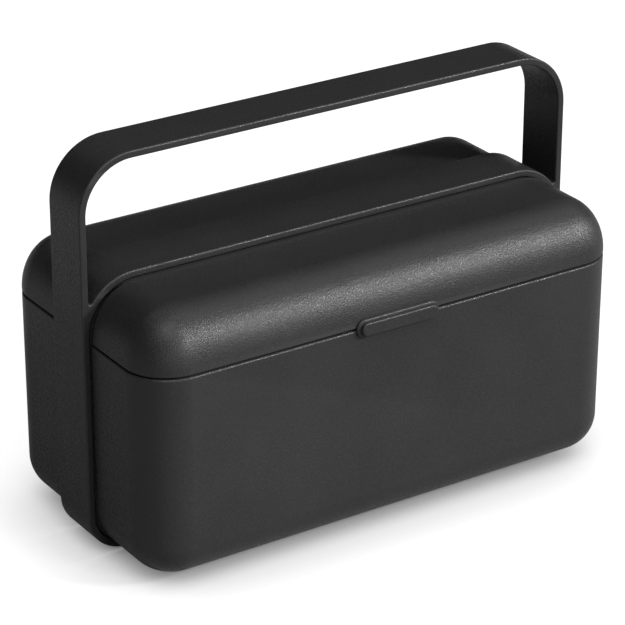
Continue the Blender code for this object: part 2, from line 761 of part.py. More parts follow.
def main():
    clear_scene()
    parts = new_collection("two_lid_lunch_box")
    tools = new_collection("cutters")
    shell = make_material("charcoal_plastic", CHARCOAL, 0.5, 0.0)
    core = make_material("core_plastic", CORE_BLACK, 0.6, 0.0)
    steel = make_material("pin_steel", STEEL, 0.32, 1.0)
    pad = make_material("foot_rubber", PAD_BLACK, 0.85, 0.0)
    grey = make_material("divider_plastic", DIVIDER_GREY, 0.5, 0.0)

    finish_part(build_handle_band(parts, tools), "handle_band", shell)
    finish_part(build_spine(parts, tools), "spine", core)

    tub = finish_part(build_tub(parts, tools), "front_tub", shell)
    rear_copy(tub, "rear_tub", parts)

    hinge = (0.0, HINGE_Y, HINGE_Z)
    lid = move_origin(finish_part(build_lid(parts, tools), "front_lid", shell), hinge)
    rear_copy(lid, "rear_lid", parts)

    pivot = (0.0, LATCH_Y, LATCH_Z)
    latch = move_origin(finish_part(build_latch(parts, tools), "front_latch", shell), pivot)
    rear_copy(latch, "rear_latch", parts)

    pin = rod("front_latch_pin", parts, pivot, LATCH_PIN_RADIUS, LATCH_PIN_LENGTH, "X", 16)
    rear_copy(finish_part(pin, "front_latch_pin", steel), "rear_latch_pin", parts)
    spring = finish_part(build_latch_spring(parts), "front_latch_spring", steel)
    rear_copy(spring, "rear_latch_spring", parts)

    number = 1
    for side in (-1, 1):
        place = (side * HINGE_X, HINGE_Y, HINGE_Z)
        name = f"hinge_pin_{number}"
        pin = rod(name, parts, place, HINGE_PIN_RADIUS, HINGE_PIN_LENGTH, "X", 16)
        finish_part(pin, name, steel)
        rear_copy(pin, f"hinge_pin_{number + 2}", parts)
        number += 1

    for i, x in enumerate(SCREW_X):
        name = f"band_screw_{i + 1}"
        finish_part(build_screw(name, parts, tools, x), name, steel)

    number = 1
    for y in (FOOT_Y, -FOOT_Y):
        for x in (-FOOT_X, FOOT_X):
            name = f"foot_{number}"
            finish_part(build_foot(name, parts, x, y), name, pad)
            number += 1

    divider = finish_part(build_divider(parts), "front_divider", grey)
    rear_copy(divider, "rear_divider", parts)


main()
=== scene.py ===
import json
import math

import bmesh
import bpy
from mathutils import Matrix, Vector


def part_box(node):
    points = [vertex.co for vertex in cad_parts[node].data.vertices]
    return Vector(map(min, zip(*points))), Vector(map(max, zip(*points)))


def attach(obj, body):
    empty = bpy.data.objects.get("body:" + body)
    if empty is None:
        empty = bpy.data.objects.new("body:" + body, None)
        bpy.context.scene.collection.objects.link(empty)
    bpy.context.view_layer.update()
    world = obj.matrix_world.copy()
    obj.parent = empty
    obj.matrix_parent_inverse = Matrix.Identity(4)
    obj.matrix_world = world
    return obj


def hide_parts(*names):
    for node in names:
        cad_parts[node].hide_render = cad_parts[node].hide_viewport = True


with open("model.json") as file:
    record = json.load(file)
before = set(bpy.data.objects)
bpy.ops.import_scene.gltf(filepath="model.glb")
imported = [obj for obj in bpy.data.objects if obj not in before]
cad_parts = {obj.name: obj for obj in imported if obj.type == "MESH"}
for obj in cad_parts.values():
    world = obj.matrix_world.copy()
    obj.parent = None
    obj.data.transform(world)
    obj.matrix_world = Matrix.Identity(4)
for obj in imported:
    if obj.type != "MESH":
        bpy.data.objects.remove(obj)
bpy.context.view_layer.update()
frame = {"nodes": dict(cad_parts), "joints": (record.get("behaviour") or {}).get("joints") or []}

MM = 0.001
JOINTS = {joint["name"]: joint for joint in frame["joints"]}

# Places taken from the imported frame
BAND_LOW, BAND_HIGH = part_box("handle_band")
TUB_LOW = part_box("front_tub")[0]
LID_LOW, LID_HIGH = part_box("front_lid")
LATCH_LOW, LATCH_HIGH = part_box("front_latch")
HINGE = Vector(JOINTS["front_lid_hinge"]["pos_m"])
PULL = Vector(JOINTS["front_latch_pull"]["pos_m"])

# Tolerances: merged points, points on one level, the rise of an upright edge, a sharp edge
MERGE = 0.000002
LEVEL = 0.000001
UPRIGHT = 0.0001
CREASE = math.radians(40)

# Strap ring, handle and the core inside the ring
STRAP = 2.9 * MM
STRAP_EDGE = 0.7 * MM
RING_TOP = 111.4 * MM
HANDLE_CORNER = 22.0 * MM
RING_TOP_CORNER = 22.0 * MM
RING_BOTTOM_CORNER = 16.0 * MM
FORK_RADIUS = 0.8 * MM
CORE_EDGE = 0.25 * MM

# Tubs; the hook's section is pairs (y, height) in millimetres
SEAM_GAP = 0.8 * MM
TUB_RIM = LID_LOW.z - SEAM_GAP
TUB_RIM_ROUND = 0.85 * MM
TUB_INNER_ROUND = 0.8 * MM
TUB_WALL = 2.2 * MM
TUB_CORNER = 17.5 * MM
TUB_BOTTOM_ROUND = 15.0 * MM
TUB_DRAFT = 0.002
WALL_BITE = 1.2 * MM
LUG_EDGE = 0.2 * MM
HOOK_X = 50.0 * MM
HOOK_HALF = 6.0 * MM
HOOK_SECTION = ((-12.6, 66.0), (-7.2, 66.0), (-7.2, 60.0), (-4.8, 60.0), (-4.8, 68.5), (-12.6, 68.5))
FOOT_CLEARANCE = 0.3 * MM
FOOT_SEAT = 0.8 * MM

# Lids
LID_WALL = 2.0 * MM
LID_ROUND = 17.5 * MM
LID_STRETCH = 20.9 / 17.5
LID_RIM_ROUND = 0.4 * MM
LID_INNER_ROUND = 1.6 * MM
ROUND_STEPS = 20

# Hinges: two knuckles of the lid, either side of a post of the tub
HINGE_X = 75.0 * MM
HINGE_BORE = 1.05 * MM
HINGE_BORE_END = HINGE_X + 15.0 * MM
KNUCKLE_X = 9.24 * MM
KNUCKLE_HALF = 2.25 * MM
KNUCKLE_RADIUS = 2.4 * MM
KNUCKLE_REACH = 3.5 * MM
KNUCKLE_ROOT = 1.4 * MM
NOTCH_HALF = 7.0 * MM
NOTCH_Y = (-18.6 * MM, -11.0 * MM)
NOTCH_Z = (86.0 * MM, 107.9 * MM)
POST_HALF = 6.6 * MM
POST_BARREL = 1.9 * MM
POST_FRONT = 1.5 * MM
POST_BACK = 1.1 * MM
POST_FOOT_Y = (-13.7 * MM, -12.2 * MM)
POST_FOOT = 82.0 * MM
POST_FRONT_BEND = (93.0 * MM, 98.0 * MM)
POST_BACK_BEND = (95.0 * MM, 98.5 * MM)

# Latches
LATCH_BACK = -53.8 * MM
LATCH_HALF = 16.9 * MM
LATCH_RADIUS = 2.7 * MM
LATCH_EDGE = 0.75 * MM
LATCH_BORE = 1.0 * MM
LATCH_BORE_END = 20.0 * MM
FLANGE_RADIUS = 3.7 * MM
FLANGE_DEPTH = 0.9 * MM
FLANGE_EDGE = 0.82 * MM
FLANGE_ROUND = 0.86
FLANGE_BACK = ((0.0, 0.92), (0.08 * MM, 1.0))
BAR_FOOT = ((0.0, 0.1), (0.03 * MM, 0.03), (0.1 * MM, 0.0))
LEVER_HALF = 11.0 * MM
LEVER_EDGE = 0.15 * MM
LEVER_TIP = -54.5 * MM
LEVER_LOW = 87.45 * MM
LEVER_HIGH = 88.6 * MM
LEVER_BARREL = 1.7 * MM
LEVER_BACK = 1.3 * MM
LEVER_FRONT = 1.1 * MM
BOSS_X = 13.8 * MM
BOSS_HALF = 1.8 * MM
BOSS_RADIUS = 2.1 * MM
BEAD = ((-9.0 * MM, 9.0 * MM), (-54.3 * MM, -53.3 * MM), (84.5 * MM, 85.1 * MM))
CATCH = ((-10.0 * MM, 10.0 * MM), (-55.0 * MM, -52.6 * MM), (84.15 * MM, 85.7 * MM))
SLOT = ((-11.5 * MM, 11.5 * MM), (-55.0 * MM, -50.4 * MM), (86.3 * MM, 89.65 * MM))
SPRING_GAP = ((-3.6 * MM, 3.6 * MM), (-52.0 * MM, -46.0 * MM), (89.3 * MM, 94.7 * MM))
SPRING_FOOT = 89.65 * MM
SPRING_TIP = 94.7 * MM
SPRING_WIRE = 0.3 * MM
SPRING_RADIUS = 1.35 * MM
SPRING_WIDTH = 4.8 * MM
SPRING_TURNS = 3.5
SPRING_LEAN = 0.4 * MM

# Dividers, each between two pairs of guide ribs
DIVIDER_X = 35.0 * MM
DIVIDER_CORNER = 14.0 * MM
DIVIDER_HEEL = 1.0 * MM
DIVIDER_SHOULDER = 2.0 * MM
DIVIDER_EDGE = 0.3 * MM
FINGER_NOTCH = 8.0 * MM
GUIDE_X = 1.9 * MM
GUIDE_HALF = 0.7 * MM
GUIDE_FRONT = -49.4 * MM
GUIDE_BACK = (-15.8 * MM, -13.2 * MM)
GUIDE_Z = (20.0 * MM, 70.0 * MM)

# Screws, pins and feet; the screw's outlines are pairs (radius, height) in millimetres, and
# the foot's dish is pairs (share of the radius, height)
SCREW_SINK = ((3.6, -0.3), (3.3, 0.12), (3.3, 0.45), (1.75, 2.1), (1.75, 3.2))
SCREW_HEAD = ((2.8, 0.25), (2.9, 0.35), (2.9, 0.5), (1.4, 2.1))
SCREW_END = ((1.4, 12.7), (1.1, 13.0))
SCREW_DRIVE = ((1.25, 0.0), (1.1, 0.45), (1.1, 1.6))
THREAD_START = 2.6
THREAD_END = 12.4
THREAD_PITCH = 0.5
THREAD_TURN = ((1.4, 0.0), (1.22, 0.18), (1.22, 0.3), (1.4, 0.48))
PIN_CHAMFER = 0.2 * MM
FOOT_EDGE = 0.7 * MM
FOOT_DISH = ((0.62, 0.25 * MM), (0.72, 0.12 * MM), (0.78, 0.0))

# Colours and shine
CHARCOAL = (0.018, 0.018, 0.0186)
SHEEN = 0.2
CORE = (0.014, 0.014, 0.015)
DIVIDER_GREY = (0.075, 0.075, 0.078)
RUBBER = (0.012, 0.012, 0.012)
STEEL = (0.56, 0.56, 0.55)
DARK_STEEL = (0.30, 0.30, 0.31)

# Camera: degrees round from the front, up and of roll, and places seen from the origin
CAMERA_ANGLES = (-33.39, 24.99, 0.12)
CAMERA_DISTANCE = 1129.8 * MM
CAMERA_LENS = 170.0928
CAMERA_SENSOR = 36.0
TARGET_RIGHT = -1.57 * MM
TARGET_HEIGHT = 68.42 * MM

# Floor, from deepest contact shadow to open ground, and lights: name, azimuth, elevation,
# strength and angular size
FLOOR_HALF = 12.0
FLOOR_BOUNCE = (0.3, 0.3, 0.3)
FLOOR_SHADED = (0.18, 0.18, 0.18)
FLOOR_GLOW = (0.05, 0.9)
SHADOW_REACH = 0.045
OPENNESS = (0.0, 0.85)
LIGHTS = (
    ("key", 45.0, 27.0, 3.75, 8.0),
    ("key_inner", 20.0, 28.0, 0.95, 10.0),
    ("key_low", 20.0, 12.0, 0.68, 30.0),
    ("side_low", 70.0, 12.0, 0.6, 30.0),
    ("left_low", -20.0, 12.0, 0.45, 30.0),
    ("over_left", -35.0, 60.0, 1.2, 30.0),
    ("over_front", 0.0, 60.0, 0.55, 30.0),
    ("over_right", 80.0, 60.0, 0.43, 30.0),
    ("back", -160.0, 60.0, 0.24, 30.0),
)
WHITE = (1.0, 1.0, 1.0, 1.0)


# ---------------------------------------------------------------- meshes

def object_from(bm, name):
    mesh = bpy.data.meshes.new(name)
    bm.to_mesh(mesh)
    bm.free()
    item = bpy.data.objects.new(name, mesh)
    bpy.context.scene.collection.objects.link(item)
    return item


def baked(item):
    """The evaluated shape as a plain mesh that takes the item's place."""
    bpy.context.view_layer.update()
    graph = bpy.context.evaluated_depsgraph_get()
    mesh = bpy.data.meshes.new_from_object(item.evaluated_get(graph), depsgraph=graph)
    bm = bmesh.new()
    bm.from_mesh(mesh)
    bm.transform(item.matrix_world)
    bmesh.ops.remove_doubles(bm, verts=bm.verts, dist=MERGE)
    bmesh.ops.dissolve_degenerate(bm, edges=bm.edges, dist=MERGE)
    bmesh.ops.recalc_face_normals(bm, faces=bm.faces)
    name = item.name
    bpy.data.objects.remove(item, do_unlink=True)
    bpy.data.meshes.remove(mesh)
    return object_from(bm, name)


def loft(name, loops):
    """Closed solid through loops of equally many points, its two ends filled flat."""
    bm = bmesh.new()
    rings = [[bm.verts.new(point) for point in loop] for loop in loops]
    count = len(rings[0])
    for ring, other in zip(rings, rings[1:]):
        for i in range(count):
            j = (i + 1) % count
            bm.faces.new((ring[i], ring[j], other[j], other[i]))
    bm.faces.new(list(reversed(rings[0])))
    bm.faces.new(rings[-1])
    bmesh.ops.recalc_face_normals(bm, faces=bm.faces)
    return object_from(bm, name)


def turned(name, profile, centre, axis="Z", steps=48):
    """A turned piece: profile pairs are (radius, place along the axis from the centre)."""
    loops = []
    for radius, along in profile:
        loop = []
        for i in range(steps):
            angle = 2 * math.pi * i / steps
            u, v = radius * math.cos(angle), radius * math.sin(angle)
            offset = Vector((along, u, v)) if axis == "X" else Vector((u, v, along))
            loop.append(Vector(centre) + offset)
        loops.append(loop)
    return loft(name, loops)


def millimetres(pairs):
    return [(first * MM, second * MM) for first, second in pairs]


def about(middle, half):
    """Limits of a stretch as far either way of its middle."""
    return (middle - half, middle + half)


def block(name, xs, ys, zs):
    """A cutter or rib between the given limits."""
    corners = [(xs[0], ys[0]), (xs[1], ys[0]), (xs[1], ys[1]), (xs[0], ys[1])]
    return loft(name, [[(x, y, z) for x, y in corners] for z in zs])


def arc(cu, cv, radius, start, end, steps):
    """Points round a centre from one angle to another, in degrees."""
    points = []
    for i in range(steps + 1):
        angle = math.radians(start + (end - start) * i / steps)
        points.append((cu + radius * math.cos(angle), cv + radius * math.sin(angle)))
    return points


def upright_outline(half, low, high, low_radius, high_radius, steps=28):
    """Rectangle with rounded corners, its lower and upper ones of different radius."""
    points = arc(half - low_radius, low + low_radius, low_radius, -90, 0, steps)
    points += arc(half - high_radius, high - high_radius, high_radius, 0, 90, steps)
    points += arc(-half + high_radius, high - high_radius, high_radius, 90, 180, steps)
    points += arc(-half + low_radius, low + low_radius, low_radius, 180, 270, steps)
    return points


def slab(name, outlines, along, limits, edge=0.0, steps=3):
    """Flat outlines (the first one outside, the others holes) given a rounded thickness."""
    curve = bpy.data.curves.new(name, "CURVE")
    curve.dimensions = "2D"
    curve.fill_mode = "BOTH"
    curve.extrude = (limits[1] - limits[0]) / 2 - edge
    curve.bevel_depth = edge
    curve.bevel_resolution = steps
    curve.offset = -edge
    for outline in outlines:
        spline = curve.splines.new("POLY")
        spline.points.add(len(outline) - 1)
        spline.use_cyclic_u = True
        for point, (u, v) in zip(spline.points, outline):
            point.co = (u, v, 0.0, 1.0)
    item = bpy.data.objects.new(name, curve)
    bpy.context.scene.collection.objects.link(item)
    middle = (limits[0] + limits[1]) / 2
    if along == "Y":
        columns, place = ((1, 0, 0), (0, 0, 1), (0, -1, 0)), Vector((0, middle, 0))
    else:
        columns, place = ((0, 1, 0), (0, 0, 1), (1, 0, 0)), Vector((middle, 0, 0))
    item.matrix_world = Matrix.Translation(place) @ Matrix(columns).transposed().to_4x4()
    return baked(item)


def combine(item, tools, operation):
    """Exact boolean with each tool in turn; the tools are used up."""
    for tool in tools:
        step = item.modifiers.new(tool.name, "BOOLEAN")
        step.operation = operation
        step.object = tool
        step.solver = "EXACT"
        step.material_mode = "TRANSFER"
    item = baked_with_slots(item)
    for tool in tools:
        bpy.data.objects.remove(tool, do_unlink=True)
    return item


def baked_with_slots(item):
    """The evaluated shape, with its material slots kept."""
    slots = [slot.material for slot in item.material_slots]
    item = baked(item)
    for material in slots:
        item.data.materials.append(material)
    return item


def round_edges(item, wanted, radius, segments):
    """Round the edges of the mesh that the test wants."""
    bm = bmesh.new()
    bm.from_mesh(item.data)
    picked = [edge for edge in bm.edges if wanted(edge)]
    bmesh.ops.bevel(
        bm, geom=picked, offset=radius, segments=segments, profile=0.5, affect="EDGES",
        clamp_overlap=False,
    )
    bm.to_mesh(item.data)
    bm.free()


# ---------------------------------------------------------------- materials

def node(tree, kind, values=None, **settings):
    """A shader node with its properties and its unlinked inputs set."""
    made = tree.nodes.new(kind)
    for key, value in settings.items():
        setattr(made, key, value)
    for key, value in (values or {}).items():
        made.inputs[key].default_value = value
    return made


def noise(tree, coords, scale, detail, rough=0.5):
    made = node(tree, "ShaderNodeTexNoise", {"Scale": scale, "Detail": detail, "Roughness": rough})
    tree.links.new(coords, made.inputs["Vector"])
    return made.outputs["Fac"]


def remap(tree, value, low, high, from_low=0.3, from_high=0.7):
    """The value's stretch between the from limits, spread from low to high."""
    made = node(tree, "ShaderNodeMapRange", {
        "From Min": from_low, "From Max": from_high, "To Min": low, "To Max": high})
    tree.links.new(value, made.inputs["Value"])
    return made.outputs["Result"]


def blend_colors(tree, factor, first, second):
    made = node(tree, "ShaderNodeMix", data_type="RGBA")
    tree.links.new(factor, made.inputs[0])
    for socket, color in ((made.inputs[6], first), (made.inputs[7], second)):
        if isinstance(color, tuple):
            socket.default_value = (*color, 1.0)
        else:
            tree.links.new(color, socket)
    return made.outputs[2]


def added(tree, value, extra, share):
    """The value plus a share of the extra one."""
    total = node(tree, "ShaderNodeMath", {1: share}, operation="MULTIPLY_ADD")
    tree.links.new(extra, total.inputs[0])
    tree.links.new(value, total.inputs[2])
    return total.outputs[0]


def scaled(color, factor):
    return tuple(channel * factor for channel in color)


def start_material(name):
    material = bpy.data.materials.new(name)
    material.use_nodes = True
    tree = material.node_tree
    shader = tree.nodes["Principled BSDF"]
    coords = node(tree, "ShaderNodeTexCoord").outputs["Object"]
    return material, tree, shader, coords


def moulded_plastic(name, color, roughness, grain, height, edge_wear_and_highlight=0.0, sparkle=0.0):
    """Moulded plastic: fine spark-eroded grain, faint clouding, and convex edges worn smoother with
    a painted highlight that lightens their colour threefold.
    """
    material, tree, shader, coords = start_material(name)
    fine = noise(tree, coords, grain, 2.0, 0.6)
    coarse = noise(tree, coords, grain * 0.33, 1.0)
    clouds = noise(tree, coords, 34.0, 4.0)
    specks = noise(tree, coords, grain * 1.2, 0.0)
    relief = node(tree, "ShaderNodeMix", {0: 0.2})
    tree.links.new(fine, relief.inputs[2])
    tree.links.new(coarse, relief.inputs[3])
    bump = node(tree, "ShaderNodeBump", {"Strength": 1.0, "Distance": height})
    tree.links.new(relief.outputs[0], bump.inputs["Height"])
    tree.links.new(bump.outputs["Normal"], shader.inputs["Normal"])
    cloudy = remap(tree, clouds, 0.0, 1.0)
    tone = blend_colors(tree, cloudy, scaled(color, 0.93), scaled(color, 1.07))
    speckled = remap(tree, specks, 0.0, 0.3, 0.55, 0.8)
    tone = blend_colors(tree, speckled, tone, scaled(color, 1.5))
    rough = remap(tree, clouds, roughness - 0.025, roughness + 0.025)
    if sparkle:
        spots = remap(tree, specks, -sparkle, sparkle, 0.25, 0.75)
        rough = added(tree, rough, spots, 1.0)
    if edge_wear_and_highlight:
        edges = node(tree, "ShaderNodeNewGeometry").outputs["Pointiness"]
        worn_and_highlit_edges = remap(tree, edges, 0.0, edge_wear_and_highlight, 0.51, 0.56)
        # Painted highlight: the colour of the convex edges is lightened threefold to stand in for
        # the light they catch; the lower roughness and weaker bump are real edge wear.
        tone = blend_colors(tree, worn_and_highlit_edges, tone, scaled(color, 3.0))
        rough = added(tree, rough, worn_and_highlit_edges, -0.3)
        tree.links.new(remap(tree, worn_and_highlit_edges, 1.0, 0.2, 0.0, edge_wear_and_highlight), bump.inputs["Strength"])
    tree.links.new(tone, shader.inputs["Base Color"])
    tree.links.new(rough, shader.inputs["Roughness"])
    shader.inputs["Specular IOR Level"].default_value = SHEEN
    return material


def turned_steel(name, color, roughness, stretch):
    """Drawn or turned steel: fine marks across the stretched axis and a slight tarnish."""
    material, tree, shader, coords = start_material(name)
    mapping = node(tree, "ShaderNodeMapping")
    mapping.inputs["Scale"].default_value = stretch
    tree.links.new(coords, mapping.inputs["Vector"])
    marks = noise(tree, mapping.outputs["Vector"], 1000.0, 3.0)
    stain = noise(tree, coords, 260.0, 3.0)
    bump = node(tree, "ShaderNodeBump", {"Strength": 0.6, "Distance": 0.00001})
    tree.links.new(marks, bump.inputs["Height"])
    tree.links.new(bump.outputs["Normal"], shader.inputs["Normal"])
    tone = blend_colors(tree, remap(tree, stain, 0.0, 1.0), scaled(color, 0.78), color)
    tree.links.new(tone, shader.inputs["Base Color"])
    rough = remap(tree, marks, roughness - 0.06, roughness + 0.08)
    tree.links.new(rough, shader.inputs["Roughness"])
    shader.inputs["Metallic"].default_value = 1.0
    return material


SHELL = moulded_plastic(
    "charcoal_plastic", CHARCOAL, roughness=0.335, grain=2100.0, height=0.00018, edge_wear_and_highlight=0.3,
    sparkle=0.14,
)
INSIDE = moulded_plastic(
    "tub_inside_plastic", scaled(CHARCOAL, 1.05), roughness=0.36, grain=900.0, height=0.00001)
SPINE = moulded_plastic("core_plastic", CORE, roughness=0.6, grain=800.0, height=0.00003)
GREY = moulded_plastic(
    "divider_plastic", DIVIDER_GREY, roughness=0.45, grain=1100.0, height=0.00003, edge_wear_and_highlight=0.2)
PAD = moulded_plastic("foot_rubber", RUBBER, roughness=0.85, grain=2200.0, height=0.00008)
PIN_STEEL = turned_steel("pin_steel", STEEL, roughness=0.3, stretch=(3.0, 0.1, 0.1))
SCREW_STEEL = turned_steel("screw_steel", DARK_STEEL, roughness=0.36, stretch=(1.0, 1.0, 0.3))


# ---------------------------------------------------------------- finishing a piece

def dress(item, name, materials, angle=32.0):
    """Name, materials and smooth shading that keeps edges sharper than the angle."""
    item.name = name
    item.data.name = name
    item.data.materials.clear()
    for material in materials:
        item.data.materials.append(material)
    item.data.shade_smooth()
    item.data.set_sharp_from_angle(angle=math.radians(angle))
    weighted = item.modifiers.new("even_flats", "WEIGHTED_NORMAL")
    weighted.keep_sharp = True
    weighted.weight = 60
    return item


def settle(item, node_name, body):
    """The piece takes the place of its CAD node and moves with the body."""
    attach(item, body)
    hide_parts(node_name)
    return item


def turned_round(item, name):
    """The same piece on the rear compartment: half a turn about the vertical."""
    twin = bpy.data.objects.new(name, item.data)
    twin.rotation_euler = (0.0, 0.0, math.pi)
    bpy.context.scene.collection.objects.link(twin)
    for step in item.modifiers:
        copy = twin.modifiers.new(step.name, step.type)
        copy.keep_sharp = step.keep_sharp
        copy.weight = step.weight
    return twin


# ---------------------------------------------------------------- strap ring and handle

def window_outline():
    """The opening under the handle, with the narrow forks where ring and legs part."""
    half = BAND_HIGH.x
    inner = half - STRAP
    top = BAND_HIGH.z - STRAP
    corner = HANDLE_CORNER - STRAP
    ring_x, ring_z = half - RING_TOP_CORNER, RING_TOP - RING_TOP_CORNER
    fork_x = inner - FORK_RADIUS
    reach = RING_TOP_CORNER + FORK_RADIUS
    fork_z = ring_z + math.sqrt(reach ** 2 - (fork_x - ring_x) ** 2)
    lean = math.degrees(math.atan2(fork_z - ring_z, fork_x - ring_x))
    right = arc(ring_x, ring_z, RING_TOP_CORNER, 90, lean, 24)
    right += arc(fork_x, fork_z, FORK_RADIUS, lean - 180, 0, 10)[1:]
    right += arc(inner - corner, top - corner, corner, 0, 90, 28)
    return right + [(-x, z) for x, z in reversed(right)]


def make_band():
    """Strap ring and handle loop in one, countersunk below for the screws."""
    half = BAND_HIGH.x
    outside = upright_outline(half, BAND_LOW.z, BAND_HIGH.z, RING_BOTTOM_CORNER, HANDLE_CORNER)
    hole = upright_outline(
        half - STRAP, BAND_LOW.z + STRAP, RING_TOP - STRAP, RING_BOTTOM_CORNER - STRAP,
        RING_TOP_CORNER - STRAP,
    )
    limits = (BAND_LOW.y, BAND_HIGH.y)
    band = slab("band", [outside, hole, window_outline()], "Y", limits, STRAP_EDGE, 4)
    sinks = []
    for name in sorted(frame["nodes"]):
        if name.startswith("band_screw"):
            low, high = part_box(name)
            centre = ((low.x + high.x) / 2, (low.y + high.y) / 2, 0.0)
            sinks.append(turned("sink", millimetres(SCREW_SINK), centre))
    band = combine(band, sinks, "DIFFERENCE")
    return settle(dress(band, "strap_handle", [SHELL]), "handle_band", "base")


# ---------------------------------------------------------------- tubs and lids

def open_shell(name, low, high, crown_up, edge, stretch, wall):
    """Thin open shell of one compartment, cut flat on the side beside the strap."""
    crown, rim = (high, low) if crown_up else (low, high)
    length, depth = 2 * LID_HIGH.x, -2 * LID_LOW.y
    bm = bmesh.new()
    size = Matrix.Diagonal((length, depth, high - low, 1.0))
    place = Matrix.Translation((0.0, 0.0, (low + high) / 2))
    bmesh.ops.create_cube(bm, size=1.0, matrix=place @ size)

    def level(element, height):
        return all(abs(vert.co.z - height) < LEVEL for vert in element.verts)

    options = dict(segments=ROUND_STEPS, profile=0.5, affect="EDGES", clamp_overlap=False)
    upright = [e for e in bm.edges if abs(e.verts[0].co.z - e.verts[1].co.z) > UPRIGHT]
    if crown_up:
        crowned = [e for e in bm.edges if level(e, crown)]
        bmesh.ops.bevel(bm, geom=upright + crowned, offset=edge, **options)
    else:
        bmesh.ops.bevel(bm, geom=upright, offset=TUB_CORNER, **options)
        crowned = [e for e in bm.edges if level(e, crown)]
        bmesh.ops.bevel(bm, geom=crowned, offset=edge, **options)
    for vert in bm.verts:
        if crown_up and vert.co.z > high - edge * 1.001:
            vert.co.z = high - (high - vert.co.z) * stretch
        if not crown_up:
            shrink = TUB_DRAFT * (high - vert.co.z)
            vert.co.x -= math.copysign(shrink, vert.co.x)
            vert.co.y -= math.copysign(shrink, vert.co.y)
    cut = bmesh.ops.bisect_plane(
        bm, geom=bm.verts[:] + bm.edges[:] + bm.faces[:], plane_co=(0, LID_HIGH.y, 0),
        plane_no=(0, 1, 0), clear_outer=True,
    )
    rim_of_cut = [g for g in cut["geom_cut"] if isinstance(g, bmesh.types.BMEdge)]
    bmesh.ops.holes_fill(bm, edges=rim_of_cut, sides=0)
    bmesh.ops.delete(bm, geom=[f for f in bm.faces if level(f, rim)], context="FACES")
    bmesh.ops.recalc_face_normals(bm, faces=bm.faces)
    middle = Vector((0.0, LID_LOW.y / 2, (low + high) / 2))
    if sum((f.calc_center_median() - middle).dot(f.normal) for f in bm.faces) < 0:
        bmesh.ops.reverse_faces(bm, faces=bm.faces)
    shell = object_from(bm, name)
    for material in (SHELL, INSIDE):
        shell.data.materials.append(material)
    solid = shell.modifiers.new("wall", "SOLIDIFY")
    solid.thickness = wall
    solid.offset = -1.0
    solid.use_even_offset = True
    solid.use_rim = True
    solid.material_offset = 1
    return baked_with_slots(shell)


def at_rim(edge, rim):
    level = all(abs(vert.co.z - rim) < LEVEL for vert in edge.verts)
    return level and edge.calc_face_angle(0.0) > CREASE


def on_inner_wall(edge, rim):
    """Whether a sharp edge bounds the flat face beside the strap, away from the rim."""
    flat = all(abs(vert.co.y - LID_HIGH.y) < LEVEL for vert in edge.verts)
    level = all(abs(vert.co.z - rim) < LEVEL for vert in edge.verts)
    return flat and not level and edge.calc_face_angle(0.0) > CREASE


def knuckle_outline():
    """Barrel round the hinge pin, hung from the underside of the lid."""
    y, z, radius = HINGE.y, HINGE.z, KNUCKLE_RADIUS
    top = LID_HIGH.z - KNUCKLE_ROOT
    points = [(y + KNUCKLE_REACH, top), (y - radius, top)]
    points += arc(y, z, radius, 180, 360, 20)
    points.append((y + KNUCKLE_REACH, z))
    return points


def boss_outline():
    """Lug that carries the latch pin, standing off the inside of the lid's wall."""
    wall = LID_LOW.y + WALL_BITE
    points = [(wall, PULL.z - BOSS_RADIUS)]
    points += arc(PULL.y, PULL.z, BOSS_RADIUS, -90, 90, 20)
    points.append((wall, PULL.z + BOSS_RADIUS))
    return points


def hinge_bore():
    return turned(
        "bore", [(HINGE_BORE, -HINGE_BORE_END), (HINGE_BORE, HINGE_BORE_END)], HINGE, "X", 32)


def latch_bore():
    return turned(
        "bore", [(LATCH_BORE, -LATCH_BORE_END), (LATCH_BORE, LATCH_BORE_END)], PULL, "X", 32)


def make_lid():
    """Domed shell with hinge knuckles, lugs for the latch pin and room for posts and lever."""
    low, high = LID_LOW.z, LID_HIGH.z
    lid = open_shell("lid", low, high, True, LID_ROUND, LID_STRETCH, LID_WALL)
    round_edges(lid, lambda edge: on_inner_wall(edge, low), LID_INNER_ROUND, 6)
    round_edges(lid, lambda edge: at_rim(edge, low), LID_RIM_ROUND, 4)
    lugs = []
    for side in (-1, 1):
        for hand in (-1, 1):
            width = about(side * HINGE_X + hand * KNUCKLE_X, KNUCKLE_HALF)
            lugs.append(slab("knuckle", [knuckle_outline()], "X", width, LUG_EDGE, 1))
        width = about(side * BOSS_X, BOSS_HALF)
        lugs.append(slab("boss", [boss_outline()], "X", width, LUG_EDGE, 1))
    lid = combine(lid, lugs, "UNION")
    cutters = []
    for side in (-1, 1):
        cutters.append(block("notch", about(side * HINGE_X, NOTCH_HALF), NOTCH_Y, NOTCH_Z))
    cutters += [hinge_bore(), latch_bore(), block("slot", *SLOT)]
    return combine(lid, cutters, "DIFFERENCE")


def post_outline():
    """Hinge post that rises from the tub's wall and ends in a barrel round the pin."""
    y, z = HINGE.y, HINGE.z
    rise = math.degrees(math.acos(POST_BACK / POST_BARREL))
    back = math.degrees(math.acos(POST_FRONT / POST_BARREL))
    front_y, back_y = POST_FOOT_Y
    points = [(front_y, POST_FOOT), (back_y, POST_FOOT), (back_y, POST_BACK_BEND[0])]
    points.append((y + POST_BACK, POST_BACK_BEND[1]))
    points += arc(y, z, POST_BARREL, -rise, 180 + back, 28)
    points.append((y - POST_FRONT, POST_FRONT_BEND[1]))
    points.append((front_y, POST_FRONT_BEND[0]))
    return points


def foot_seats(low):
    seats = []
    for name in ("foot_1", "foot_2"):
        foot_low, foot_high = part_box(name)
        centre = ((foot_low.x + foot_high.x) / 2, (foot_low.y + foot_high.y) / 2, low)
        radius = (foot_high.x - foot_low.x) / 2 + FOOT_CLEARANCE
        seats.append(turned("seat", [(radius, -FOOT_SEAT), (radius, FOOT_SEAT)], centre))
    return seats


